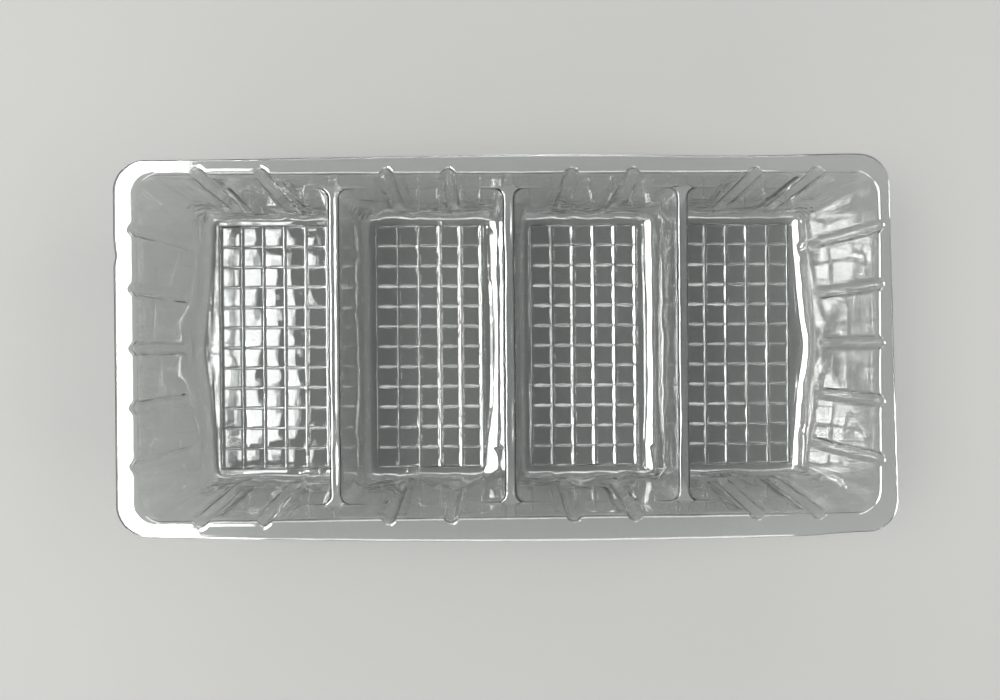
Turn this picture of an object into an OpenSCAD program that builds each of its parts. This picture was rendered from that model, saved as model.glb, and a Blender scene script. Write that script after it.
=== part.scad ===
// Clear thermoformed tray: one drawn sheet with four deep compartments in a row,
// a flat flange all round, fluted walls and a waffle grid pressed into each floor.
// Millimetres. The underside of the floors lies on z = 0 and the flange is on top.

/* [Flange] */
// Width of the flat flange around the opening
flange_width = 4.8; // [3:0.1:12]
// Outer corner radius of the flange, seen from above
flange_corner_radius = 8; // [3:0.5:20]

/* [Opening and depth] */
// Length of the opening at the flange
opening_length = 194; // [150:1:260]
// Width of the opening at the flange
opening_width = 90; // [60:1:140]
// Corner radius of the opening at the flange
opening_corner_radius = 6; // [3:0.5:15]
// Height of the tray from the underside of the floors to the top of the flange
tray_depth = 40; // [30:1:55]
// Lean of every wall from the vertical, in degrees
wall_draft = 6; // [3:0.5:10]
// Thickness of the formed sheet
sheet_thickness = 0.5; // [0.3:0.05:0.8]

/* [Compartments] */
// Number of compartments in the row
compartments = 4; // [2:1:5]
// Height of the dividers, from the underside of the floors to their flat tops
divider_height = 28; // [15:1:29]
// Width of the flat top of a divider
divider_top_width = 2.7; // [1.5:0.1:8]
// Corner radius of a compartment where it meets a divider
compartment_corner_radius = 2.8; // [1:0.1:6]
// Radius between a floor and its walls
floor_radius = 2.3; // [1.5:0.1:5]
// How far the floor swells outward at the middle of each end wall
end_bow = 3.4; // [0:0.1:3.5]

/* [Flutes] */
// Number of flutes on each end wall
end_flutes = 5; // [1:1:7]
// Distance between flutes on the end walls
end_flute_pitch = 15.4; // [8:0.1:20]
// Distance between the two flutes on each side of a compartment
side_flute_pitch = 16.2; // [8:0.1:22]
// Width of a flute where it leaves the wall
flute_width = 3.4; // [2:0.1:6]
// How far a flute stands out from the wall
flute_depth = 1.3; // [0.6:0.1:2]
// Height of the rounded lower tip of a flute
flute_tip_height = 7; // [5:0.5:15]

/* [Floor grid] */
// Distance between the ribs of the grid, both ways
cell_pitch = 6.3; // [4:0.1:12]
// Width at the floor of the ribs that run along the width of the tray
main_rib_width = 1.6; // [0.8:0.1:2.5]
// Height above the floor of the ribs that run along the width of the tray
main_rib_height = 0.8; // [0.3:0.05:1.2]
// Width at the floor of the ribs that run along the length of the tray
cross_rib_width = 1.3; // [0.8:0.1:2.5]
// Height above the floor of the ribs that run along the length of the tray
cross_rib_height = 0.6; // [0.3:0.05:1.2]

/* [Hidden] */

// How far a cutting shape runs past the face that it cuts
cut_margin = 1;
// Inset that keeps the space above the dividers just inside the compartment walls
wall_inset = 0.02;
// Angle between the rings of points on a rounded floor edge
floor_arc_step = 30;
// Sides of a full circle on the floor edges, the posts at the flange and the flutes
floor_sides = 16;
post_sides = 24;
flute_sides = 10;
// How far a rib or its groove reaches past the face that it stands on
rib_sink = 0.2;

lean = tan(wall_draft);
base_length = opening_length - 2 * tray_depth * lean;
base_width = opening_width - 2 * tray_depth * lean;
divider_base_width = divider_top_width + 2 * divider_height * lean;
compartment_length = (base_length - (compartments - 1) * divider_base_width) / compartments;
compartment_pitch = compartment_length + divider_base_width;

foot_z = sheet_thickness + floor_radius;
mouth_z = tray_depth - sheet_thickness;
foot_inset = floor_radius / cos(wall_draft) - foot_z * lean;
foot_y = base_width / 2 - foot_inset;

cells_x = floor((compartment_length - floor_radius) / cell_pitch);
cells_y = floor((base_width - floor_radius) / cell_pitch);
grid_x = cells_x * cell_pitch;
grid_y = cells_y * cell_pitch;

flute_radius = (pow(flute_width / 2, 2) + pow(flute_depth, 2)) / (2 * flute_depth);
flute_low_z = flute_tip_height + flute_radius;
flute_high_z = tray_depth + cut_margin;

// Place of the middle of compartment i along the tray
function compartment_x(i) = (i - (compartments - 1) / 2) * compartment_pitch;

// How far the swollen end wall stands out at distance y from the middle and height z
function swell(y, z) = end_bow * max(0, min(1 - abs(y) / foot_y, 1 - z / tray_depth));

// Lower quarter of a ball, which rounds the floor into the walls
module foot(radius) {
    arc = [for (a = [-90:floor_arc_step:0]) radius * [cos(a), sin(a)]];
    rotate_extrude($fn = floor_sides) polygon(concat(arc, [[0, 0]]));
}

// One corner where two walls meet: a foot on the floor and a round post at the flange.
// edge is the place of the walls at z = 0, and side is the direction of each wall.
module corner(edge, side, mouth_radius, grow) {
    low = [for (i = [0:1]) side[i] * (edge[i] - foot_inset)];
    high = [for (i = [0:1]) side[i] * (edge[i] + mouth_z * lean - mouth_radius)];
    translate([low[0], low[1], foot_z]) foot(floor_radius + grow);
    translate([high[0], high[1], mouth_z])
        cylinder(r = mouth_radius + grow, h = sheet_thickness + cut_margin, $fn = post_sides);
}

// Form of compartment i, from its floor to the flange. grow is 0 for the inside of the
// sheet, and the thickness of the sheet for the outside.
module compartment(i, grow) {
    half = [compartment_length / 2, base_width / 2];
    translate([compartment_x(i), 0, 0]) hull() {
        for (sx = [-1, 1]) {
            at_end = sx == (i == 0 ? -1 : i == compartments - 1 ? 1 : 0);
            radius = at_end ? opening_corner_radius : compartment_corner_radius;
            for (sy = [-1, 1]) corner(half, [sx, sy], radius, grow);
            if (at_end)
                translate([sx * (half[0] - foot_inset + end_bow), 0, foot_z]) foot(floor_radius + grow);
        }
    }
}

// Form of the space above the dividers, as long and as wide as the opening
module upper_space(grow) {
    half = [base_length / 2 - wall_inset, base_width / 2 - wall_inset];
    intersection() {
        hull() {
            for (sx = [-1, 1], sy = [-1, 1]) corner(half, [sx, sy], opening_corner_radius, grow);
        }
        translate([-opening_length, -opening_width, divider_height - grow])
            cube([2 * opening_length, 2 * opening_width, tray_depth]);
    }
}

// One flute up a wall that faces +X, measured from the place of that wall at z = 0.
// out is how far the wall swells at the lower tip.
module flute(out, grow) {
    inset = flute_depth - flute_radius;
    hull() {
        translate([flute_low_z * lean + inset + out, 0, flute_low_z])
            sphere(r = flute_radius + grow, $fn = flute_sides);
        translate([flute_high_z * lean + inset, 0, flute_high_z])
            sphere(r = flute_radius + grow, $fn = flute_sides);
    }
}

// Every flute: a row on each end wall, and two on each side of each compartment
module flutes(grow) {
    for (turn = [0, 180], k = [0:end_flutes - 1]) {
        y = (k - (end_flutes - 1) / 2) * end_flute_pitch;
        rotate(turn) translate([base_length / 2, y, 0]) flute(swell(y, flute_low_z), grow);
    }
    for (turn = [90, -90], i = [0:compartments - 1], s = [-0.5, 0.5])
        translate([compartment_x(i) + s * side_flute_pitch, 0, 0])
            rotate(turn) translate([base_width / 2, 0, 0]) flute(0, grow);
}

// Straight rib along Y that stands on z = 0, with sloping sides and ends
module rib(length, width, height) {
    w = width / 2 * (height + rib_sink) / height;
    l = length / 2 + rib_sink;
    r = length / 2 - height;
    polyhedron(
        points = [
            [-w, -l, -rib_sink], [w, -l, -rib_sink], [w, l, -rib_sink], [-w, l, -rib_sink],
            [0, -r, height], [0, r, height]
        ],
        faces = [[0, 1, 2, 3], [1, 0, 4], [3, 2, 5], [2, 1, 4, 5], [0, 3, 5, 4]]);
}

// One rib of the grid, or the groove that it leaves in the underside of the sheet
module pressed_rib(length, width, height, groove) {
    slope = 2 * height / width;
    groove_height = height + sheet_thickness - sheet_thickness * sqrt(1 + slope * slope);
    if (!groove) translate([0, 0, sheet_thickness]) rib(length, width, height);
    if (groove && groove_height > 0) {
        groove_width = 2 * groove_height / slope;
        rib(length - width + groove_width, groove_width, groove_height);
    }
}

// Waffle grid of one floor, both sets of ribs
module grid(groove) {
    for (k = [0:cells_x])
        translate([k * cell_pitch - grid_x / 2, 0, 0])
            pressed_rib(grid_y + main_rib_width, main_rib_width, main_rib_height, groove);
    for (k = [0:cells_y])
        translate([0, k * cell_pitch - grid_y / 2, 0]) rotate(90)
            pressed_rib(grid_x + cross_rib_width, cross_rib_width, cross_rib_height, groove);
}

// Whole drawn form: compartments, the space above the dividers, and flutes, less the ribs
module drawn_form(grow) {
    difference() {
        union() {
            for (i = [0:compartments - 1]) compartment(i, grow);
            upper_space(grow);
            flutes(grow);
        }
        for (i = [0:compartments - 1]) translate([compartment_x(i), 0, 0]) grid(grow > 0);
    }
}

// Flat sheet that the tray is drawn from, cut to its outline with rounded corners
module flange() {
    x = opening_length / 2 + flange_width - flange_corner_radius;
    y = opening_width / 2 + flange_width - flange_corner_radius;
    translate([0, 0, mouth_z]) linear_extrude(sheet_thickness + cut_margin) hull() {
        for (sx = [-1, 1], sy = [-1, 1])
            translate([sx * x, sy * y]) circle(flange_corner_radius, $fn = 48);
    }
}

module tray() {
    color([0.82, 0.86, 0.88, 0.45]) intersection() {
        difference() {
            union() {
                flange();
                drawn_form(sheet_thickness);
            }
            drawn_form(0);
        }
        translate([-opening_length, -opening_width, -cut_margin])
            cube([2 * opening_length, 2 * opening_width, tray_depth + cut_margin]);
    }
}

tray();
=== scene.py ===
import math

import bmesh
import bpy
import numpy as np
from mathutils import Matrix, Vector


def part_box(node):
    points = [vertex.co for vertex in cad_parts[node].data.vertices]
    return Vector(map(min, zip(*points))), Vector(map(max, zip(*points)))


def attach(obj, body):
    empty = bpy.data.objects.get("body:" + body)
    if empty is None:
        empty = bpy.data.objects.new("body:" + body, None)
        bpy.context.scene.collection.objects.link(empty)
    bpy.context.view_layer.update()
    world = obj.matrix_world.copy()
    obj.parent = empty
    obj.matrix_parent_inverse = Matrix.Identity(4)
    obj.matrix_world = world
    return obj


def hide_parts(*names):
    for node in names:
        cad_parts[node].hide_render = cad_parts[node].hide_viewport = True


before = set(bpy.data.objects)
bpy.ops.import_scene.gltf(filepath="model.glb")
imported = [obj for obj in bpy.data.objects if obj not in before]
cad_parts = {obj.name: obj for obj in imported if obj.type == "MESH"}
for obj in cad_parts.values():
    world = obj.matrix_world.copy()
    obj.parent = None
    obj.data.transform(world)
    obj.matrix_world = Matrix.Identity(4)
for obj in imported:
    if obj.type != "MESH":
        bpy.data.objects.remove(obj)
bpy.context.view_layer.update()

NODE = "tray"

# Sizes of the tray in millimetres. Its outer size comes from the frame.
MM = 0.001
HIGH = Vector(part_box(NODE)[1]) / MM
DEPTH = HIGH.z
FLANGE_WIDTH = 4.8
FLANGE_CORNER = 8.0
OPENING = (HIGH.x - FLANGE_WIDTH, HIGH.y - FLANGE_WIDTH)
OPENING_CORNER = 6.0
LEAN = math.tan(math.radians(6.0))
SHEET = 0.45

COMPARTMENTS = 4
DIVIDER_Z = 28.0
DIVIDER_TOP = 2.7
COMPARTMENT_CORNER = 2.8
FLOOR_RADIUS = 2.3
FLOOR_CORNER = 1.2
DIVIDER_EDGE = 0.8
RIM_EDGE = 1.1
END_SWELL = 3.4
# Share of the swell at the middle of an end wall, at each flute beside it, and at the corner
SWELL_SHARES = (1.0, 0.42, 0.12, 0.0)

# Foot of each compartment's east wall, west to east: its slope in degrees, how far out of the
# flat floor's edge it starts at its north end, middle and south end, and how far out it goes.
# Past the reach of a plain foot, it takes the wall above with it.
EAST_FOOT_SLOPE = (12.0, 15.0, 24.0, 33.0)
EAST_FOOT_START = ((-0.4, -0.4, -1.2), (0.6, 1.9, -1.4), (1.1, 1.9, 1.0), (-0.3, -0.1, -0.6))
EAST_FOOT_REACH = (1.8, 3.6, 3.9, 1.9)
PLAIN_REACH = 1.8
# The foot from its start to its end: share of the way out and share of the rise at each level
EAST_FOOT_CURVE = ((0.0, 0.0), (0.08, 0.02), (0.18, 0.09), (0.8, 0.71), (0.94, 0.93), (1.0, 1.2))
# Where along the wall the start turns from its middle value to its end values
NORTH_TURN = (8, 38)
SOUTH_TURN = (-12, -40)
# The foot takes hold of a ring between these distances inside the ring's east side
EAST_HOLD = (2.0, 0.6)

# Waffle grid: width and length of a cell, its dome, cells each way, and each rib's width and height
CELL = (6.58, 6.3)
CELL_DOME = 0.13
CELLS = (5, 12)
MAIN_RIB = (1.7, 0.45)
CROSS_RIB = (1.2, 0.38)
# Form of a rib as shares of its height: how its foot blends in, where its crown is capped
RIB_FOOT_BLEND = 0.12
RIB_CROWN = (0.92, 0.2)

# Flutes: the heights between which their tips fade in, and their places from each wall's middle
FLUTE_WIDTH = 3.8
FLUTE_DEPTH = 1.25
FLUTE_TIP_Z = (7.0, 9.5)
END_FLUTE_PITCH = 15.4
END_FLUTES = [END_FLUTE_PITCH * k for k in (-2, -1, 0, 1, 2)]
SIDE_FLUTES = [-8.1, 8.1]
FLUTE_RUN_OUT = 2.4
# Creases of the drawn wall, strongest by the corners and below: where they come in, and how
# much is left of them away from the corners
CREASE_Y = (20, 36)
CREASE_Z = (24, 8)
CREASE_LEAST = 0.25
FADE = 1.5

# Trim of the flange against its edge in the frame. Cut off: at the south and north end of the
# east side, at the west end of the north side, and in a shallow dip further east. Left standing:
# along the west side, and as a bow along the south side. A nick goes into the west side.
EAST_CUT = (-0.3, 1.9)
NORTH_CUT = 1.2
NORTH_DIP = 0.5
NORTH_DIP_X = 58.0
WEST_LEFT = 0.9
NICK_DEPTH = 0.6
NICK_Y = 24.7
SOUTH_BOW = 1.55
SOUTH_BOW_X = 25.0
SOUTH_BOW_REACH = 95.0
SOUTH_DROP = 0.6
# Distances from the middle between which the trim of an end and of a long side comes in
END_ZONE = (84, 94)
LONG_ZONE = (34, 44)
# Where the trim starts past the rounded rim, and over what width it takes hold
TRIM_START = 1.5
TRIM_SPAN = 2.4
# Turned-down lip of the flange: way out from the edge, and drop, of each ring, and the room
# that the untrimmed edge leaves inside the frame's
LIP = ((-0.75, 0.0), (-0.5, 0.03), (-0.2, 0.12), (0.0, 0.3))
EDGE_ROOM = 0.01

# Sizes that follow from those
BASE = tuple(half - DEPTH * LEAN for half in OPENING)
DIVIDER_BASE = DIVIDER_TOP + 2 * DIVIDER_Z * LEAN
PITCH = (2 * BASE[0] + DIVIDER_BASE) / COMPARTMENTS
DRAFT = math.atan(LEAN)
FOOT_INSET = FLOOR_RADIUS / math.cos(DRAFT) - (SHEET + FLOOR_RADIUS) * LEAN
FLAT = ((PITCH - DIVIDER_BASE) / 2 - FOOT_INSET, BASE[1] - FOOT_INSET)
WALL_START = FLOOR_RADIUS * math.cos(DRAFT), SHEET + FLOOR_RADIUS * (1 - math.sin(DRAFT))

# Steps of the mesh: along half of a rounded corner, across a divider's top, up each stretch of
# a wall, out over the flange, across a rib, and in the margin round the waffle grid, which is
# MARGIN_Y wide to the north and south. Along a wall, points crowd together over each flute.
CORNER_STEPS = 5
TOP_STEPS = 5
FOOT_LEVELS = 7
WALL_LEVELS = 12
RIM_LEVELS = 6
DIVIDER_EDGE_STEPS = 4
RIM_EDGE_STEPS = 5
FLANGE_RINGS = (0.7, 1.8, 3.0)
RIB_POINTS = (7, 5)
MARGIN_STEPS = (3, 1)
MARGIN_Y = 1.8
FLUTE_CROWDING = 4
FINE_POINTS = 4001

# Values kept for each point of the flat drawing, which the forming tree reads
VALUES = ("floor", "cell_x", "cell_y", "flute_gap", "fluted", "out_x", "out_y", "crease", "wavy")
FLOOR, CELL_X, CELL_Y, FLUTE_GAP, FLUTED, OUT_X, OUT_Y, CREASE, WAVY = range(len(VALUES))
# Gap given to a point with no flute near it
FAR = 99.0
# The value that the finished piece keeps, for its material
KEPT_VALUE = "fluted"
# Sides of an outline, and the way out of the tray at each
SOUTH, EAST, NORTH, WEST = range(4)
OUT = np.array([(0, -1), (1, 0), (0, 1), (-1, 0)], float)


def ease(value, start=0.0, end=1.0):
    """Go smoothly from 0 to 1 while the value goes from start to end."""
    share = np.clip((value - start) / (end - start), 0.0, 1.0)
    return share * share * (3 - 2 * share)


def floor_places(cell, cells, rib_width, edge, rib_points, margin_steps):
    """Places across a floor: close together over each rib, with one between two ribs."""
    offsets = np.linspace(-0.5, 0.5, rib_points) * rib_width
    middles = (np.arange(cells + 1) - cells / 2) * cell
    ribs = (middles[:, None] + offsets[None, :]).ravel()
    margin = np.linspace(edge, ribs.max(), margin_steps, endpoint=False)
    return np.sort(np.concatenate([ribs, middles[:-1] + cell / 2, margin, -margin]))


def wall_places(count, flutes, reach):
    """Places along a straight wall: close together over each flute, even elsewhere."""
    if not flutes:
        return np.linspace(-reach, reach, count)
    fine = np.linspace(-reach, reach, FINE_POINTS)
    gap = np.abs(fine[:, None] - np.array(flutes)[None, :]).min(axis=1)
    near = ease(gap, FLUTE_WIDTH * 0.6 + 0.4, FLUTE_WIDTH * 0.6 - 0.4)
    density = 1 + FLUTE_CROWDING * near
    total = np.concatenate([[0], np.cumsum((density[1:] + density[:-1]) / 2)])
    return np.interp(np.linspace(0, total[-1], count), total, fine)


def stretched(along, low_end, high_end, keep):
    """Move the ends of a row of places to new ends, and leave those inside keep alone."""
    low, high = along.min(), along.max()
    result = along.copy()
    over, under = along > keep, along < -keep
    result[over] = keep + (along[over] - keep) * (high_end - keep) / (high - keep)
    result[under] = -keep + (along[under] + keep) * (low_end + keep) / (low + keep)
    return result


def drawn_out(index, z):
    """How far the wall above an east foot stands out beyond a plain one, at height z."""
    share = (DIVIDER_Z - min(z, DIVIDER_Z)) / (DIVIDER_Z - WALL_START[1])
    return (EAST_FOOT_REACH[index] - PLAIN_REACH) * share ** 1.5


def east_foot(index, level, y):
    """Ways out and heights of a foot that was not drawn into its corner: a slope with a tight end."""
    north, middle, south = EAST_FOOT_START[index]
    start = middle + (south - middle) * ease(y, *SOUTH_TURN) + (north - middle) * ease(y, *NORTH_TURN)
    span = EAST_FOOT_REACH[index] - start
    rise = math.tan(math.radians(EAST_FOOT_SLOPE[index])) * span
    share_out, share_up = EAST_FOOT_CURVE[level]
    return start + span * share_out, SHEET + rise * share_up


class Outline:
    """Points round a rounded rectangle: each lies on a side, or on a corner at an angle.

    Corner 0 is south-west, and they go round as the sides do.
    """

    def __init__(self):
        self.side, self.corner, self.angle, self.along = [], [], [], []

    def add_corner(self, corner, steps):
        """Add points to a corner. steps count from its start, 0, to its end, 2 * CORNER_STEPS."""
        for step in steps:
            self.side.append(-1)
            self.corner.append(corner)
            self.angle.append(math.radians(180 + 90 * corner + 45 * step / CORNER_STEPS))
            self.along.append(0.0)

    def add_side(self, side, along):
        """Add points to a side, in the order in which the outline goes round."""
        for place in along:
            self.side.append(side)
            self.corner.append(-1)
            self.angle.append(0.0)
            self.along.append(place)

    def finish(self):
        """Make arrays of the lists, and return the outline."""
        for name in ("side", "corner", "angle", "along"):
            setattr(self, name, np.array(getattr(self, name)))
        return self

    def at(self, west, east, half_y, radii, keep, along=None):
        """Places of the points where the rectangle reaches west, east and half_y."""
        along = self.along if along is None else along
        corners = [
            (-west + radii[0], -half_y + radii[0]), (east - radii[1], -half_y + radii[1]),
            (east - radii[2], half_y - radii[2]), (-west + radii[3], half_y - radii[3])]
        places = np.zeros((len(self.side), 2))
        for corner, (x, y) in enumerate(corners):
            here = self.corner == corner
            places[here, 0] = x + radii[corner] * np.cos(self.angle[here])
            places[here, 1] = y + radii[corner] * np.sin(self.angle[here])
        for side, (low, high) in enumerate(((0, 1), (1, 2), (3, 2), (0, 3))):
            here = self.side == side
            axis = side % 2
            moved = stretched(along[here], corners[low][axis], corners[high][axis], keep[axis])
            places[here, axis] = moved
            places[here, 1 - axis] = (-half_y, east, half_y, -west)[side]
        return places


def swell(y, z):
    """How far the end walls stand out beyond straight ones, most at the middle of the floor."""
    places = (0, END_FLUTE_PITCH, 2 * END_FLUTE_PITCH, FLAT[1])
    across = np.interp(np.abs(y), places, SWELL_SHARES)
    return END_SWELL * np.minimum(across, np.maximum(0, 1 - z / DEPTH))


def trim(ring):
    """How far each point of the flange's edge moves to the west and the south when it is cut."""
    x, y = ring[:, 0], ring[:, 1]
    share_y = (y + HIGH.y) / (2 * HIGH.y)
    east = ease(x, *END_ZONE) * (EAST_CUT[0] + (EAST_CUT[1] - EAST_CUT[0]) * share_y)
    nick = NICK_DEPTH * ease(np.abs(y - NICK_Y), 2.1, 0.7)
    west = ease(-x, *END_ZONE) * (WEST_LEFT - nick)
    dip = NORTH_DIP * ease(np.abs(x - NORTH_DIP_X), 34, 0)
    north = ease(y, *LONG_ZONE) * (NORTH_CUT * ease(x, 10, -100) + dip)
    bow = SOUTH_BOW * (1 - ((x - SOUTH_BOW_X) / SOUTH_BOW_REACH) ** 2)
    south = ease(-y, *LONG_ZONE) * (bow - SOUTH_DROP * ease(x, 76, 92))
    return np.column_stack([east + west, north + south])


def edge_arc(top_z, radius, steps):
    """Rounded edge between a wall that leans out and a flat top: ways out and heights."""
    tangent_z = top_z - radius + radius * math.sin(DRAFT)
    middle = wall_out(tangent_z) + radius * math.cos(DRAFT)
    angles = np.radians(np.linspace(180 - math.degrees(DRAFT), 90, steps))
    return middle + radius * np.cos(angles), top_z - radius + radius * np.sin(angles)


def wall_out(z):
    """How far out of the flat floor's edge a wall is at height z."""
    return WALL_START[0] + (z - WALL_START[1]) * LEAN


class Sheet:
    """Patches of four-sided faces, each point with its values."""

    def __init__(self):
        self.places, self.values, self.faces, self.count = [], [], [], 0

    def add(self, places, values, closed=False):
        """Add a patch, rows by columns. In a closed patch the last column joins the first."""
        rows, columns = places.shape[:2]
        index = self.count + np.arange(rows * columns).reshape(rows, columns)
        left = index if closed else index[:, :-1]
        right = np.roll(index, -1, axis=1) if closed else index[:, 1:]
        quads = np.stack([left[:-1], right[:-1], right[1:], left[1:]], axis=-1).reshape(-1, 4)
        self.faces.append(quads[:, ::-1] if closed else quads)
        self.places.append(places.reshape(-1, 3))
        self.values.append(values.reshape(-1, len(VALUES)))
        self.count += rows * columns


def blank_values(places):
    """Values of points that nothing is pressed into."""
    values = np.zeros(places.shape[:-1] + (len(VALUES),))
    values[..., FLUTE_GAP] = FAR
    return values


def wall_values(outline, places, z, along, flutes):
    """Values of wall points. flutes gives the flutes of each side, from its own middle."""
    values = blank_values(places)
    gap = values[:, FLUTE_GAP]
    for side in range(4):
        here = outline.side == side
        if flutes[side]:
            gap[here] = np.abs(along[here][:, None] - np.array(flutes[side])[None, :]).min(axis=1)
        values[here, OUT_X:OUT_Y + 1] = OUT[side]
    values[:, FLUTED] = np.where(gap < FLUTE_WIDTH, ease(z, *FLUTE_TIP_Z), 0)
    near_corner = CREASE_LEAST + (1 - CREASE_LEAST) * ease(np.abs(places[:, 1]), *CREASE_Y)
    values[:, CREASE] = ease(z, SHEET, SHEET + FADE) * ease(z, *CREASE_Z) * near_corner
    values[:, WAVY] = ease(z, DEPTH, DEPTH - FADE)
    return values


COLUMNS = floor_places(CELL[0], CELLS[0], MAIN_RIB[0], FLAT[0], RIB_POINTS[0], MARGIN_STEPS[0])
ROWS = floor_places(CELL[1], CELLS[1], CROSS_RIB[0], FLAT[1], RIB_POINTS[1], MARGIN_STEPS[1])


def compartment_outline():
    """Outline of a compartment, point for point round the edge of its floor."""
    outline = Outline()
    for side in range(4):
        places = ROWS if side % 2 else COLUMNS
        straight = places[CORNER_STEPS:-CORNER_STEPS]
        outline.add_corner(side, range(CORNER_STEPS, 2 * CORNER_STEPS))
        outline.add_side(side, straight if side in (SOUTH, EAST) else straight[::-1])
        outline.add_corner((side + 1) % 4, range(1, CORNER_STEPS))
    return outline.finish()


def compartment_walls(index):
    """Rings of one compartment, from the edge of its flat floor up to the divider tops."""
    first, last = index == 0, index == COMPARTMENTS - 1
    outline = compartment_outline()
    end_flutes = {WEST: END_FLUTES if first else [], EAST: END_FLUTES if last else []}
    flutes = [end_flutes.get(side, SIDE_FLUTES) for side in range(4)]

    wall_along = outline.along.copy()
    for side in range(4):
        here = outline.side == side
        reach = np.abs(outline.along[here]).max()
        row = wall_places(here.sum(), flutes[side], reach)
        wall_along[here] = row if side in (SOUTH, EAST) else row[::-1]

    angles = np.linspace(0, math.pi / 2 - DRAFT, FOOT_LEVELS)
    low_out = FLOOR_RADIUS * np.sin(angles)
    low_z = SHEET + FLOOR_RADIUS * (1 - np.cos(angles))
    arc_out, arc_z = edge_arc(DIVIDER_Z, DIVIDER_EDGE, DIVIDER_EDGE_STEPS)
    rise_z = np.linspace(low_z[-1], arc_z[0], WALL_LEVELS)[1:-1]
    level_z = np.concatenate([low_z, rise_z, arc_z])
    level_out = np.concatenate([low_out, wall_out(rise_z), wall_out(arc_z)])
    divider_out = np.concatenate([low_out, wall_out(rise_z), arc_out])

    radius_low = FLOOR_CORNER + low_out
    share_outer = (level_z - low_z[-1]) / (DEPTH - low_z[-1])
    share_inner = (level_z - low_z[-1]) / (DIVIDER_Z - low_z[-1])
    turned = ease(level_z, low_z[0], low_z[-1])
    centre_x = (index - (COMPARTMENTS - 1) / 2) * PITCH
    keep_floor = (COLUMNS[-CORNER_STEPS - 2], ROWS[-CORNER_STEPS - 2])
    keep_wall = (SIDE_FLUTES[1] + FLUTE_WIDTH, END_FLUTES[-1] + FLUTE_WIDTH / 2)

    places, values = [], []
    for level, z in enumerate(level_z):
        foot_radius = radius_low[min(level, FOOT_LEVELS - 1)]
        outer = foot_radius + (OPENING_CORNER - radius_low[-1]) * max(0, share_outer[level])
        inner = foot_radius + (COMPARTMENT_CORNER - radius_low[-1]) * max(0, share_inner[level])
        west = FLAT[0] + (level_out if first else divider_out)[level]
        east = FLAT[0] + (level_out if last else divider_out)[level]
        west_radius, east_radius = outer if first else inner, outer if last else inner
        radii = (west_radius, east_radius, east_radius, west_radius)
        half_y = FLAT[1] + level_out[level]
        on_floor = outline.at(west, east, half_y, radii, keep_floor)
        on_wall = outline.at(west, east, half_y, radii, keep_wall, wall_along)
        ring = on_floor + (on_wall - on_floor) * turned[level]
        if first:
            ring[:, 0] -= swell(ring[:, 1], z) * (ring[:, 0] < -FLAT[0] / 2)
        if last:
            ring[:, 0] += swell(ring[:, 1], z) * (ring[:, 0] > FLAT[0] / 2)
        along = np.where(outline.side % 2 == 1, ring[:, 1], ring[:, 0])
        points = np.column_stack([ring, np.full(len(ring), z)])
        at_east = ease(ring[:, 0], east - EAST_HOLD[0], east - EAST_HOLD[1])
        if level < len(EAST_FOOT_CURVE):
            foot_out, foot_z = east_foot(index, level, ring[:, 1])
            points[:, 0] += at_east * (foot_out - low_out[level])
            points[:, 2] += at_east * (foot_z - z)
        else:
            points[:, 0] += at_east * drawn_out(index, z)
        values.append(wall_values(outline, points, z, along, flutes))
        points[:, 0] += centre_x
        places.append(points)
    return np.array(places), np.array(values), centre_x


def compartment_floor(edge, centre_x):
    """Flat floor of one compartment, fitted to its edge, with the places of its cells."""
    grid = np.stack(np.meshgrid(COLUMNS, ROWS), axis=-1)
    rows, columns = grid.shape[:2]
    local = edge[:, :2] - [centre_x, 0]
    south = local[:columns]
    east = local[columns - 1:columns + rows - 1]
    north = local[columns + rows - 2:2 * columns + rows - 2][::-1]
    west = np.concatenate([local[:1], local[2 * columns + rows - 3:][::-1]])
    margin_x = COLUMNS[MARGIN_STEPS[0]] - COLUMNS[0]
    from_edge_x = np.clip(1 - (COLUMNS - COLUMNS[0]) / margin_x, 0, 1)
    from_edge_y = np.clip(1 - (ROWS - ROWS[0]) / MARGIN_Y, 0, 1)
    fades = {SOUTH: from_edge_y, NORTH: from_edge_y[::-1], WEST: from_edge_x, EAST: from_edge_x[::-1]}
    moved = grid.copy()
    moved += fades[SOUTH][:, None, None] * (south - grid[0])[None]
    moved += fades[NORTH][:, None, None] * (north - grid[-1])[None]
    moved += fades[WEST][None, :, None] * (west - grid[:, 0])[:, None]
    moved += fades[EAST][None, :, None] * (east - grid[:, -1])[:, None]
    for side_y, row in ((SOUTH, 0), (NORTH, -1)):
        for side_x, column in ((WEST, 0), (EAST, -1)):
            shift = {SOUTH: south, NORTH: north}[side_y][column] - grid[row, column]
            moved -= (fades[side_y][:, None] * fades[side_x][None, :])[..., None] * shift
    places = np.concatenate([moved, np.full((rows, columns, 1), SHEET)], axis=-1)
    values = blank_values(places)
    values[..., FLOOR] = 1
    values[..., CELL_X:CELL_Y + 1] = moved * MM
    values[..., WAVY] = 1
    places[..., 0] += centre_x
    return places, values


def divider_bridges(tops):
    """Flat tops of the dividers, between the top rings of the compartments beside them."""
    columns, rows, steps = len(COLUMNS), len(ROWS), CORNER_STEPS
    east_chain = np.arange(columns - 1 - steps, columns + rows - 2 + steps + 1)
    west_chain = np.arange(steps, -(rows - 1) - steps - 1, -1)
    share = np.linspace(0, 1, TOP_STEPS + 1)[None, :, None]
    return [left[east_chain][:, None] * (1 - share) + right[west_chain][:, None] * share
            for left, right in zip(tops[:-1], tops[1:])]


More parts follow.
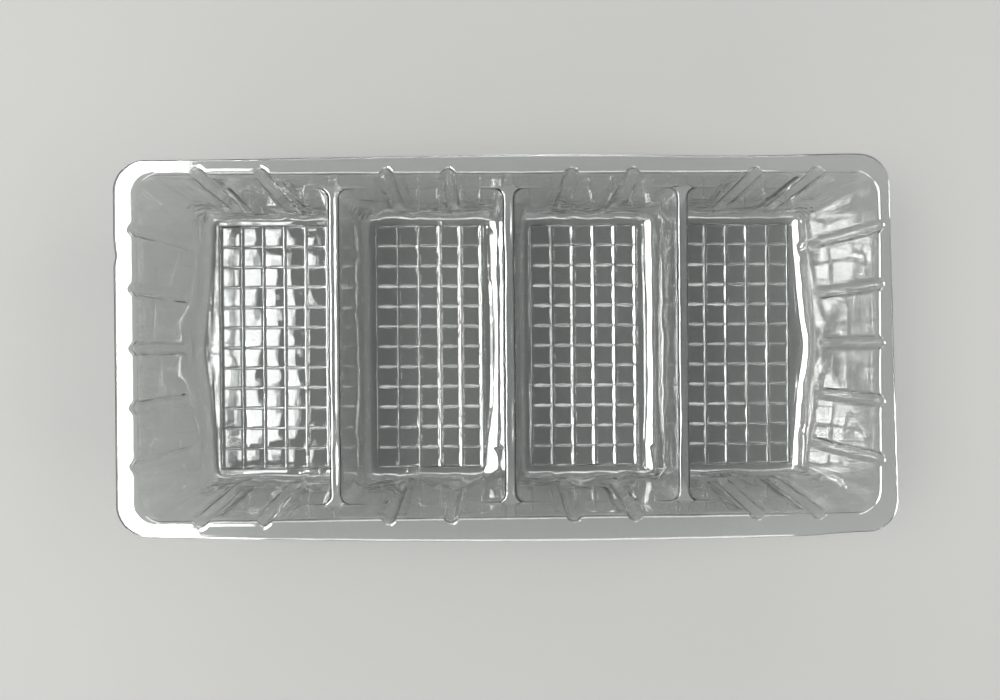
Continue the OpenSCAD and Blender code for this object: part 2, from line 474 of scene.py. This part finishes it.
def rim_outline(tops, bridges):
    """Outline of the wall over the dividers, point for point round the tops below it."""
    columns, rows, steps = len(COLUMNS), len(ROWS), CORNER_STEPS
    rim = Outline()
    span = columns - 2 * steps
    for side in range(4):
        rim.add_corner(side, range(steps, 2 * steps))
        order = range(COMPARTMENTS) if side == SOUTH else reversed(range(COMPARTMENTS))
        if side % 2:
            top = tops[-1] if side == EAST else tops[0]
            start = (columns - 1 if side == EAST else 2 * columns + rows - 3) + steps
            rim.add_side(side, top[start:start + rows - 2 * steps, 1])
        else:
            start = (0 if side == SOUTH else columns + rows - 2) + steps
            for index in order:
                rim.add_side(side, tops[index][start:start + span, 0])
                if side == SOUTH and index < COMPARTMENTS - 1:
                    rim.add_side(side, bridges[index][0, 1:-1, 0])
                if side == NORTH and index > 0:
                    rim.add_side(side, bridges[index - 1][-1, -2:0:-1, 0])
        rim.add_corner((side + 1) % 4, range(1, steps))
    return rim.finish()


def rim_and_flange(rim):
    """Rings from the divider tops up the wall, over the rounded rim and out to the lip."""
    arc_out, arc_z = edge_arc(DEPTH, RIM_EDGE, RIM_EDGE_STEPS)
    rise_z = np.linspace(DIVIDER_Z, arc_z[0], RIM_LEVELS)[:-1]
    rim_out = arc_out[-1]
    edge_out = wall_out(DEPTH) + FLANGE_WIDTH - EDGE_ROOM
    flange_out = rim_out + np.array(FLANGE_RINGS)
    lip_out, lip_drop = np.array(LIP).T
    level_out = np.concatenate([wall_out(rise_z), arc_out, flange_out, edge_out + lip_out])
    level_z = np.concatenate([rise_z, arc_z, np.full(len(FLANGE_RINGS), DEPTH), DEPTH - lip_drop])

    side_x = [index * PITCH + place for index in np.arange(COMPARTMENTS) - (COMPARTMENTS - 1) / 2
              for place in SIDE_FLUTES]
    flutes = [side_x, END_FLUTES, side_x, END_FLUTES]
    keep = (side_x[-1] + FLUTE_WIDTH / 2, END_FLUTES[-1] + FLUTE_WIDTH / 2)
    middle_x = (COMPARTMENTS - 1) / 2 * PITCH
    wall_radius = FLOOR_CORNER + WALL_START[0]
    places, values = [], []
    for out, z in zip(level_out, level_z):
        share = (z - WALL_START[1]) / (DEPTH - WALL_START[1])
        radius = wall_radius + (OPENING_CORNER - wall_radius) * share
        past_rim = max(0.0, out - rim_out) / (edge_out - rim_out)
        radius += (FLANGE_CORNER - OPENING_CORNER) * past_rim
        half_x, half_y = middle_x + FLAT[0] + out, FLAT[1] + out
        ring = rim.at(half_x, half_x, half_y, (radius,) * 4, keep)
        at_end = (np.abs(ring[:, 0]) > middle_x) & (out < rim_out)
        ring[:, 0] += np.sign(ring[:, 0]) * at_end * swell(ring[:, 1], z)
        along = np.where(rim.side % 2 == 1, ring[:, 1], ring[:, 0])
        ring -= trim(ring) * np.clip((out - rim_out - TRIM_START) / TRIM_SPAN, 0, 1)
        points = np.column_stack([ring, np.full(len(ring), z)])
        point_values = wall_values(rim, points, z, along, flutes)
        point_values[:, FLUTED] *= 1 - ease(out, rim_out, rim_out + FLUTE_RUN_OUT)
        places.append(points)
        values.append(point_values)
    return np.array(places), np.array(values)


def build_sheet():
    """The upper face of the drawn sheet, before ribs and flutes are pressed into it."""
    sheet = Sheet()
    tops = []
    for index in range(COMPARTMENTS):
        places, values, centre_x = compartment_walls(index)
        sheet.add(places, values, closed=True)
        sheet.add(*compartment_floor(places[0], centre_x))
        tops.append(places[-1])
    bridges = divider_bridges(tops)
    for bridge in bridges:
        sheet.add(bridge, blank_values(bridge))
    sheet.add(*rim_and_flange(rim_outline(tops, bridges)), closed=True)
    return sheet


def add_node(tree, kind, settings=None, links=None):
    """Add a node. links gives each socket, by name or number, a value or what feeds it."""
    node = tree.nodes.new(kind)
    for name, value in (settings or {}).items():
        setattr(node, name, value)
    for key, value in (links or {}).items():
        if isinstance(value, bpy.types.NodeSocket):
            tree.links.new(value, node.inputs[key])
        else:
            node.inputs[key].default_value = value
    return node


def colour(code, alpha=1.0):
    """Linear colour of an sRGB hex value."""
    parts = [int(code[start:start + 2], 16) / 255 for start in (1, 3, 5)]
    linear = [part / 12.92 if part <= 0.04045 else ((part + 0.055) / 1.055) ** 2.4 for part in parts]
    return (*linear, alpha)


# Sizes that the forming tree takes, in metres, and the seed of its noise
FORM_SIZES = {
    "Cell width": CELL[0] * MM,
    "Cell length": CELL[1] * MM,
    "Main rib width": MAIN_RIB[0] * MM,
    "Main rib height": MAIN_RIB[1] * MM,
    "Cross rib width": CROSS_RIB[0] * MM,
    "Cross rib height": CROSS_RIB[1] * MM,
    "Cell dome": CELL_DOME * MM,
    "Flute width": FLUTE_WIDTH * MM,
    "Flute depth": FLUTE_DEPTH * MM,
    "Ripple size": 11.0 * MM,
    "Ripple height": 0.3 * MM,
    "Crease size": 3.4 * MM,
    "Crease depth": 1.1 * MM,
    "Seed": 4.0,
}

# The two sets of ribs: the place measured across them, the cell's side and the number of cells
RIB_SETS = {
    "Main rib": ("cell_x", "Cell width", CELLS[0]),
    "Cross rib": ("cell_y", "Cell length", CELLS[1]),
}


def rib_gap(tree, across, cell, cells):
    """Distance to the middle of the nearest rib, then half a row of cells and half a cell."""
    half_row = add_node(tree, "ShaderNodeMath", {"operation": "MULTIPLY"}, {0: cell, 1: cells / 2})
    half_cell = add_node(tree, "ShaderNodeMath", {"operation": "MULTIPLY"}, {0: cell, 1: 0.5})
    from_first = add_node(tree, "ShaderNodeMath", {"operation": "ADD"},
                          {0: across, 1: half_row.outputs[0]})
    gap = add_node(tree, "ShaderNodeMath", {"operation": "PINGPONG"},
                   {0: from_first.outputs[0], 1: half_cell.outputs[0]})
    return gap.outputs[0], half_row.outputs[0], half_cell.outputs[0]


def rib_set(tree, sizes, drawn, ribs, crossing):
    """Height over the floor of one set of ribs, which end at the outer ribs of the crossing set."""
    across, cell, cells = RIB_SETS[ribs]
    along, crossing_cell, crossing_cells = RIB_SETS[crossing]
    gap, _, _ = rib_gap(tree, drawn[across], sizes[cell], cells)
    half_width = add_node(tree, "ShaderNodeMath", {"operation": "MULTIPLY"},
                          {0: sizes[ribs + " width"], 1: 0.5})
    slope = add_node(tree, "ShaderNodeMapRange", None,
                     {"Value": gap, "From Min": half_width.outputs[0], "From Max": 0.0,
                      "To Min": -RIB_FOOT_BLEND, "To Max": 1.0})
    rounded = add_node(tree, "ShaderNodeMath", {"operation": "SMOOTH_MAX"},
                       {0: slope.outputs["Result"], 1: 0.0, 2: RIB_FOOT_BLEND})
    capped = add_node(tree, "ShaderNodeMath", {"operation": "SMOOTH_MIN"},
                      {0: rounded.outputs[0], 1: RIB_CROWN[0], 2: RIB_CROWN[1]})
    crown = add_node(tree, "ShaderNodeMath", {"operation": "MULTIPLY"},
                     {0: capped.outputs[0], 1: sizes[ribs + " height"]})
    distance = add_node(tree, "ShaderNodeMath", {"operation": "ABSOLUTE"}, {0: drawn[along]})
    last_rib = add_node(tree, "ShaderNodeMath", {"operation": "MULTIPLY"},
                        {0: sizes[crossing_cell], 1: crossing_cells / 2})
    end = add_node(tree, "ShaderNodeMath", {"operation": "MULTIPLY_ADD"},
                   {0: sizes[crossing + " width"], 1: 0.5, 2: last_rib.outputs[0]})
    inside = add_node(tree, "ShaderNodeMapRange", {"interpolation_type": "SMOOTHSTEP"},
                      {"Value": distance.outputs[0], "From Min": end.outputs[0],
                       "From Max": last_rib.outputs[0], "To Min": 0.0, "To Max": 1.0})
    return add_node(tree, "ShaderNodeMath", {"operation": "MULTIPLY"},
                    {0: crown.outputs[0], 1: inside.outputs["Result"]}).outputs[0]


def cell_share(tree, sizes, drawn, ribs):
    """0 at the middle of a rib and 1 at the middle of a cell, measured across the ribs."""
    across, cell, cells = RIB_SETS[ribs]
    gap, half_row, half_cell = rib_gap(tree, drawn[across], sizes[cell], cells)
    beyond = add_node(tree, "ShaderNodeMath", {"operation": "ABSOLUTE"}, {0: drawn[across]})
    inside = add_node(tree, "ShaderNodeMath", {"operation": "LESS_THAN"},
                      {0: beyond.outputs[0], 1: half_row})
    share = add_node(tree, "ShaderNodeMath", {"operation": "DIVIDE"}, {0: gap, 1: half_cell})
    return add_node(tree, "ShaderNodeMath", {"operation": "MULTIPLY"},
                    {0: share.outputs[0], 1: inside.outputs[0]}).outputs[0]


def waffle_move(tree, sizes, drawn):
    """Move of the floor up into its ribs and slightly domed cells."""
    main = rib_set(tree, sizes, drawn, "Main rib", "Cross rib")
    cross = rib_set(tree, sizes, drawn, "Cross rib", "Main rib")
    higher = add_node(tree, "ShaderNodeMath", {"operation": "MAXIMUM"}, {0: main, 1: cross})
    rib = add_node(tree, "ShaderNodeMath", {"operation": "MULTIPLY"},
                   {0: higher.outputs[0], 1: drawn["floor"]})
    domed = add_node(tree, "ShaderNodeMath", {"operation": "MULTIPLY"},
                     {0: cell_share(tree, sizes, drawn, "Main rib"),
                      1: cell_share(tree, sizes, drawn, "Cross rib")})
    dome = add_node(tree, "ShaderNodeMath", {"operation": "MULTIPLY"},
                    {0: domed.outputs[0], 1: sizes["Cell dome"]})
    up = add_node(tree, "ShaderNodeMath", {"operation": "MULTIPLY_ADD"},
                  {0: dome.outputs[0], 1: drawn["floor"], 2: rib.outputs[0]})
    return add_node(tree, "ShaderNodeCombineXYZ", None, {"Z": up.outputs[0]}).outputs[0]


def flute_move(tree, sizes, drawn):
    """Move of the walls outward into their flutes, each a rounded channel."""
    twice = add_node(tree, "ShaderNodeMath", {"operation": "MULTIPLY"},
                     {0: drawn["flute_gap"], 1: 2 * MM})
    share = add_node(tree, "ShaderNodeMath", {"operation": "DIVIDE"},
                     {0: twice.outputs[0], 1: sizes["Flute width"]})
    square = add_node(tree, "ShaderNodeMath", {"operation": "MULTIPLY"},
                      {0: share.outputs[0], 1: share.outputs[0]})
    left = add_node(tree, "ShaderNodeMath", {"operation": "SUBTRACT", "use_clamp": True},
                    {0: 1.0, 1: square.outputs[0]})
    channel = add_node(tree, "ShaderNodeMath", {"operation": "POWER"}, {0: left.outputs[0], 1: 1.4})
    deep = add_node(tree, "ShaderNodeMath", {"operation": "MULTIPLY"},
                    {0: channel.outputs[0], 1: sizes["Flute depth"]})
    flute = add_node(tree, "ShaderNodeMath", {"operation": "MULTIPLY"},
                     {0: deep.outputs[0], 1: drawn["fluted"]})
    out = add_node(tree, "ShaderNodeCombineXYZ", None, {"X": drawn["out_x"], "Y": drawn["out_y"]})
    return add_node(tree, "ShaderNodeVectorMath", {"operation": "SCALE"},
                    {0: out.outputs[0], "Scale": flute.outputs[0]}).outputs[0]


def wave_move(tree, sizes, drawn):
    """Move along the surface's normal: wide ripples everywhere, and upright creases in the walls."""
    place = add_node(tree, "GeometryNodeInputPosition").outputs[0]
    normal = add_node(tree, "GeometryNodeInputNormal").outputs[0]
    ripple_scale = add_node(tree, "ShaderNodeMath", {"operation": "DIVIDE"},
                            {0: 1.0, 1: sizes["Ripple size"]})
    ripple = add_node(tree, "ShaderNodeTexNoise", {"noise_dimensions": "4D"},
                      {"Vector": place, "W": sizes["Seed"], "Scale": ripple_scale.outputs[0],
                       "Detail": 1.0, "Roughness": 0.4})
    ripple_height = add_node(tree, "ShaderNodeMapRange", None,
                             {"Value": ripple.outputs["Fac"], "From Min": 0.25, "From Max": 0.75,
                              "To Min": 0.0, "To Max": sizes["Ripple height"]})
    squashed = add_node(tree, "ShaderNodeVectorMath", {"operation": "MULTIPLY"},
                        {0: place, 1: (1.0, 1.0, 0.35)})
    crease_scale = add_node(tree, "ShaderNodeMath", {"operation": "DIVIDE"},
                            {0: 1.0, 1: sizes["Crease size"]})
    crease = add_node(tree, "ShaderNodeTexNoise", {"noise_dimensions": "4D"},
                      {"Vector": squashed.outputs[0], "W": sizes["Seed"],
                       "Scale": crease_scale.outputs[0], "Detail": 1.0, "Roughness": 0.5})
    crease_height = add_node(tree, "ShaderNodeMapRange", {"clamp": False},
                             {"Value": crease.outputs["Fac"], "From Min": 0.5, "From Max": 1.0,
                              "To Min": 0.0, "To Max": sizes["Crease depth"]})
    crease_here = add_node(tree, "ShaderNodeMath", {"operation": "MULTIPLY"},
                           {0: crease_height.outputs["Result"], 1: drawn["crease"]})
    waves = add_node(tree, "ShaderNodeMath", {"operation": "ADD"},
                     {0: ripple_height.outputs["Result"], 1: crease_here.outputs[0]})
    inner = add_node(tree, "ShaderNodeMath", {"operation": "MULTIPLY"},
                     {0: waves.outputs[0], 1: drawn["wavy"]})
    return add_node(tree, "ShaderNodeVectorMath", {"operation": "SCALE"},
                    {0: normal, "Scale": inner.outputs[0]}).outputs[0]


def forming_tree():
    """Presses ribs, flutes, ripples and creases into a flat drawing of the sheet."""
    tree = bpy.data.node_groups.new("press_the_sheet", "GeometryNodeTree")
    tree.interface.new_socket("Geometry", in_out="INPUT", socket_type="NodeSocketGeometry")
    for name in FORM_SIZES:
        tree.interface.new_socket(name, in_out="INPUT", socket_type="NodeSocketFloat")
    tree.interface.new_socket("Finish", in_out="INPUT", socket_type="NodeSocketMaterial")
    tree.interface.new_socket("Geometry", in_out="OUTPUT", socket_type="NodeSocketGeometry")
    sizes = add_node(tree, "NodeGroupInput").outputs
    joined = add_node(tree, "GeometryNodeMergeByDistance", None,
                      {"Geometry": sizes["Geometry"], "Distance": 1e-6})
    drawn = {}
    for name in VALUES:
        value = add_node(tree, "GeometryNodeInputNamedAttribute", {"data_type": "FLOAT"}, {"Name": name})
        drawn[name] = value.outputs["Attribute"]
    pressed = add_node(tree, "ShaderNodeVectorMath", {"operation": "ADD"},
                       {0: waffle_move(tree, sizes, drawn), 1: flute_move(tree, sizes, drawn)})
    move = add_node(tree, "ShaderNodeVectorMath", {"operation": "ADD"},
                    {0: pressed.outputs[0], 1: wave_move(tree, sizes, drawn)})
    formed = add_node(tree, "GeometryNodeSetPosition", None,
                      {"Geometry": joined.outputs[0], "Offset": move.outputs[0]})
    real = add_node(tree, "GeometryNodeRealizeInstances", None, {"Geometry": formed.outputs[0]})
    finished = add_node(tree, "GeometryNodeSetMaterial", None,
                        {"Geometry": real.outputs[0], "Material": sizes["Finish"]})
    add_node(tree, "NodeGroupOutput", None, {0: finished.outputs[0]})
    return tree


# Marks in the sheet's surface, in millimetres: the width of each kind and its height
SLACK_WAVE = 6.667
SLACK_HEIGHT = 0.2
DRAW_STREAK = 2.0833
DRAW_STREAK_LENGTH = 18.18
DRAW_HEIGHT = 0.22
CRUMPLE = 1.6129
CRUMPLE_PATCH = 11.765
CRUMPLE_HEIGHT = 0.2
# A rib's flank gets a crisp foot where one face lies this flat and the next turns up this much
FLAT_NORMAL_Z = 0.985
CRISP_ANGLE = 10


def per_metre(size):
    """Scale of a pattern whose repeat is size millimetres wide."""
    return 1 / (size * MM)


def slack_waves(tree, place, apart):
    """Soft waves, as the flat floors keep because nothing stretched them tight."""
    wavy = add_node(tree, "ShaderNodeTexNoise", None,
                    {"Vector": place, "Scale": per_metre(SLACK_WAVE), "Detail": 1.0, "Roughness": 0.4})
    slack = add_node(tree, "ShaderNodeMapRange", None,
                     {"Value": apart["Z"], "From Min": 1 * MM, "From Max": 4 * MM,
                      "To Min": 1.0, "To Max": 0.35})
    waves = add_node(tree, "ShaderNodeMath", {"operation": "MULTIPLY"},
                     {0: wavy.outputs["Fac"], 1: slack.outputs["Result"]})
    return add_node(tree, "ShaderNodeBump", None,
                    {"Strength": 1.0, "Distance": SLACK_HEIGHT * MM,
                     "Height": waves.outputs[0]}).outputs["Normal"]


def draw_marks(tree, place, apart, below):
    """Fine upright streaks where the sheet was drawn down a wall, strongest in the flutes."""
    stretched_place = add_node(tree, "ShaderNodeVectorMath", {"operation": "MULTIPLY"},
                               {0: place, 1: (per_metre(DRAW_STREAK), per_metre(DRAW_STREAK),
                                              per_metre(DRAW_STREAK_LENGTH))})
    streaks = add_node(tree, "ShaderNodeTexNoise", None,
                       {"Vector": stretched_place.outputs[0], "Scale": 1.0, "Detail": 3.0,
                        "Roughness": 0.55})
    on_wall = add_node(tree, "ShaderNodeMapRange", None,
                       {"Value": apart["Z"], "From Min": 1.5 * MM, "From Max": 5 * MM,
                        "To Min": 0.0, "To Max": 1.0})
    off_flange = add_node(tree, "ShaderNodeMapRange", None,
                          {"Value": apart["Z"], "From Min": 39 * MM, "From Max": 36 * MM,
                           "To Min": 0.0, "To Max": 1.0})
    between = add_node(tree, "ShaderNodeMath", {"operation": "MULTIPLY"},
                       {0: on_wall.outputs["Result"], 1: off_flange.outputs["Result"]})
    fluted = add_node(tree, "ShaderNodeAttribute", {"attribute_name": KEPT_VALUE}).outputs["Fac"]
    marked = add_node(tree, "ShaderNodeMapRange", None,
                      {"Value": fluted, "From Min": 0.0, "From Max": 1.0, "To Min": 0.35, "To Max": 1.0})
    shown_marks = add_node(tree, "ShaderNodeMath", {"operation": "MULTIPLY"},
                           {0: marked.outputs["Result"], 1: between.outputs[0]})
    marks = add_node(tree, "ShaderNodeMath", {"operation": "MULTIPLY"},
                     {0: streaks.outputs["Fac"], 1: shown_marks.outputs[0]})
    return add_node(tree, "ShaderNodeBump", None,
                    {"Strength": 1.0, "Distance": DRAW_HEIGHT * MM, "Height": marks.outputs[0],
                     "Normal": below}).outputs["Normal"]


def foot_crumples(tree, place, apart, below):
    """Patches of small crumples at the foot of the long walls, where the sheet gathered."""
    crumple = add_node(tree, "ShaderNodeTexNoise", None,
                       {"Vector": place, "Scale": per_metre(CRUMPLE), "Detail": 2.0, "Roughness": 0.55})
    wrinkle = add_node(tree, "ShaderNodeMapRange", None,
                       {"Value": crumple.outputs["Fac"], "From Min": 0.5, "From Max": 0.68,
                        "To Min": 0.0, "To Max": 1.0})
    across = add_node(tree, "ShaderNodeMath", {"operation": "ABSOLUTE"}, {0: apart["Y"]})
    by_long_wall = add_node(tree, "ShaderNodeMapRange", None,
                            {"Value": across.outputs[0], "From Min": 37 * MM, "From Max": 41 * MM,
                             "To Min": 0.0, "To Max": 1.0})
    low_down = add_node(tree, "ShaderNodeMapRange", None,
                        {"Value": apart["Z"], "From Min": 20 * MM, "From Max": 8 * MM,
                         "To Min": 0.0, "To Max": 1.0})
    near_foot = add_node(tree, "ShaderNodeMath", {"operation": "MULTIPLY"},
                         {0: by_long_wall.outputs["Result"], 1: low_down.outputs["Result"]})
    patches = add_node(tree, "ShaderNodeTexNoise", None,
                       {"Vector": place, "Scale": per_metre(CRUMPLE_PATCH), "Detail": 0.0})
    patch = add_node(tree, "ShaderNodeMapRange", None,
                     {"Value": patches.outputs["Fac"], "From Min": 0.52, "From Max": 0.62,
                      "To Min": 0.0, "To Max": 1.0})
    patchy = add_node(tree, "ShaderNodeMath", {"operation": "MULTIPLY"},
                      {0: near_foot.outputs[0], 1: patch.outputs["Result"]})
    crumpled = add_node(tree, "ShaderNodeMath", {"operation": "MULTIPLY"},
                        {0: wrinkle.outputs["Result"], 1: patchy.outputs[0]})
    return add_node(tree, "ShaderNodeBump", None,
                    {"Strength": 1.0, "Distance": CRUMPLE_HEIGHT * MM, "Height": crumpled.outputs[0],
                     "Normal": below}).outputs["Normal"]


def clear_polyester():
    """Clear thermoformed polyester: glassy on both faces, with a trace of haze and a faint tint.

    Lamps and bounced light pass straight through it, so that the paper below stays evenly lit.
    """
    finish = bpy.data.materials.new("clear_polyester_sheet")
    finish.use_nodes = True
    tree = finish.node_tree
    tree.nodes.clear()
    place = add_node(tree, "ShaderNodeTexCoord").outputs["Object"]
    apart = add_node(tree, "ShaderNodeSeparateXYZ", None, {0: place}).outputs
    marked = foot_crumples(tree, place, apart,
                           draw_marks(tree, place, apart, slack_waves(tree, place, apart)))
    sheet_shader = add_node(tree, "ShaderNodeBsdfPrincipled", None,
                            {"Base Color": colour("#DDDFDE"), "Roughness": 0.03, "IOR": 1.57,
                             "Transmission Weight": 0.97, "Specular IOR Level": 0.9,
                             "Coat Weight": 0.6, "Coat Roughness": 0.02, "Normal": marked})
    see_through = add_node(tree, "ShaderNodeBsdfTransparent", None, {"Color": colour("#D6D8D7")})
    rays = add_node(tree, "ShaderNodeLightPath")
    bounced = add_node(tree, "ShaderNodeMixShader", None,
                       {0: rays.outputs["Is Diffuse Ray"], 1: sheet_shader.outputs[0],
                        2: see_through.outputs[0]})
    shown = add_node(tree, "ShaderNodeMixShader", None,
                     {0: rays.outputs["Is Shadow Ray"], 1: bounced.outputs[0],
                      2: see_through.outputs[0]})
    add_node(tree, "ShaderNodeOutputMaterial", None, {"Surface": shown.outputs[0]})
    return finish


def keep_ribs_crisp(mesh):
    """Split the shading where the flank of a rib meets the flat of its cell."""
    on_floor = mesh.attributes["floor"].data
    form = bmesh.new()
    form.from_mesh(mesh)
    for edge in form.edges:
        if min(on_floor[vert.index].value for vert in edge.verts) < 0.9:
            continue
        flattest = max(abs(face.normal.z) for face in edge.link_faces)
        if flattest > FLAT_NORMAL_Z and edge.calc_face_angle(0) > math.radians(CRISP_ANGLE):
            edge.smooth = False
    form.to_mesh(mesh)
    form.free()


def formed_tray(finish):
    """The whole tray: the drawing, pressed by the forming tree and given its thickness."""
    drawing = build_sheet()
    mesh = bpy.data.meshes.new("drawn_sheet")
    places = np.concatenate(drawing.places) * MM
    mesh.from_pydata(places.tolist(), [], np.concatenate(drawing.faces).tolist())
    values = np.concatenate(drawing.values)
    for number, name in enumerate(VALUES):
        layer = mesh.attributes.new(name, "FLOAT", "POINT")
        layer.data.foreach_set("value", values[:, number].astype(np.float32))
    base = bpy.data.objects.new("drawn_sheet", mesh)
    bpy.context.collection.objects.link(base)

    press = base.modifiers.new("Press", "NODES")
    press.node_group = forming_tree()
    inputs = {**FORM_SIZES, "Finish": finish}
    for item in press.node_group.interface.items_tree:
        if item.in_out == "INPUT" and item.name in inputs:
            press[item.identifier] = inputs[item.name]
    thicken = base.modifiers.new("Thickness", "SOLIDIFY")
    thicken.thickness = SHEET * MM
    thicken.offset = -1.0
    plain = bpy.data.meshes.new_from_object(base.evaluated_get(bpy.context.evaluated_depsgraph_get()))
    bpy.data.objects.remove(base)
    plain.name = "tray_sheet"
    plain.shade_smooth()
    plain.set_sharp_from_angle(angle=math.radians(50))
    keep_ribs_crisp(plain)
    for name in VALUES:
        if name != KEPT_VALUE:
            plain.attributes.remove(plain.attributes[name])
    piece = bpy.data.objects.new("tray_sheet", plain)
    bpy.context.collection.objects.link(piece)
    return piece


tray = formed_tray(clear_polyester())
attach(tray, "root")
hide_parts(NODE)


def matt_paper():
    """Seamless studio paper: pale neutral grey with no gloss."""
    finish = bpy.data.materials.new("matt_studio_paper")
    finish.use_nodes = True
    shader = finish.node_tree.nodes["Principled BSDF"]
    shader.inputs["Base Color"].default_value = colour("#BCBBB8")
    shader.inputs["Roughness"].default_value = 0.9
    shader.inputs["Specular IOR Level"].default_value = 0.1
    return finish


def studio_floor():
    """Plain pale floor, a hair below the tray so that the two faces don't meet."""
    mesh = bpy.data.meshes.new("studio_floor")
    half, below = 3.0, -0.4 * MM
    mesh.from_pydata([(-half, -half, below), (half, -half, below), (half, half, below),
                      (-half, half, below)], [], [(0, 1, 2, 3)])
    mesh.materials.append(matt_paper())
    ground = bpy.data.objects.new("studio_floor", mesh)
    bpy.context.collection.objects.link(ground)


def softbox(name, place, target, size, power, on_paper=True, mirrored=True):
    """Add a rectangular lamp, which lights the paper, is mirrored in the sheet, or both."""
    lamp = bpy.data.lights.new(name, "AREA")
    lamp.shape = "RECTANGLE"
    lamp.size, lamp.size_y = size
    lamp.energy = power
    stand = bpy.data.objects.new(name, lamp)
    stand.location = place
    stand.rotation_euler = (Vector(target) - Vector(place)).to_track_quat("-Z", "Y").to_euler()
    stand.visible_diffuse = on_paper
    stand.visible_glossy = mirrored
    stand.visible_transmission = mirrored
    bpy.context.collection.objects.link(stand)


studio_floor()
# Lamps, in metres and watts: where each stands, what it faces, its size and its power. A glint
# only shows mirrored in the glossy sheet, and window_east only lights the paper.
softbox("window_west", (-0.494, 0.0, 0.64), (-0.494, 0, 0), (0.342, 0.43), 4.1)
softbox("window_corner", (-0.275, 0.0, 0.60), (-0.275, 0, 0), (0.08, 0.28), 0.5)
softbox("glint_west", (-0.474, 0.0, 0.63), (-0.474, 0, 0), (0.302, 0.68), 18.0, on_paper=False)
softbox("window_east", (0.65, 0.0, 0.43), (0.0, 0, 0), (0.7, 0.6), 4.8, mirrored=False)
softbox("glint_east", (0.65, 0.0, 0.43), (0.0, 0, 0), (0.7, 0.6), 1.4, on_paper=False)
softbox("strip_north", (0.0, 0.80, 0.52), (0, 0, 0), (0.9, 0.3), 1.8)
softbox("strip_south", (0.0, -0.80, 0.52), (0, 0, 0), (0.9, 0.3), 1.8)
softbox("glint_north", (0.0, 0.79, 0.51), (0, 0, 0), (0.9, 0.28), 3.0, on_paper=False)
softbox("glint_south", (0.0, -0.79, 0.51), (0, 0, 0), (0.9, 0.28), 3.0, on_paper=False)

world = bpy.data.worlds.new("studio_air")
world.use_nodes = True
world.node_tree.nodes["Background"].inputs["Color"].default_value = colour("#C9CED2")
world.node_tree.nodes["Background"].inputs["Strength"].default_value = 0.3
bpy.context.scene.world = world


# Camera of the photograph: nearly straight above, 229 mm over the ground. Lengths in
# millimetres, turns in radians, and the focal length in pixels of a frame 1000 wide.
FOCAL = 723.5
EYE = (-6.47, -0.39, 228.67)
TURN = (0.0041, 0.0187, 0.0084)


def photo_camera():
    """The camera that the sizes above describe, with its picture's top to the north."""
    camera = bpy.data.cameras.new("overhead_camera")
    camera.sensor_width = 36.0
    camera.lens = FOCAL / 1000 * camera.sensor_width
    camera.clip_start = 0.01
    stand = bpy.data.objects.new("overhead_camera", camera)
    turn = (Matrix.Rotation(TURN[2], 3, "Z") @ Matrix.Rotation(TURN[1], 3, "Y")
            @ Matrix.Rotation(TURN[0], 3, "X"))
    stand.matrix_world = Matrix.Translation(Vector(EYE) * MM) @ turn.transposed().to_4x4()
    bpy.context.collection.objects.link(stand)
    bpy.context.scene.camera = stand


photo_camera()
bpy.context.scene.view_settings.view_transform = "Standard"
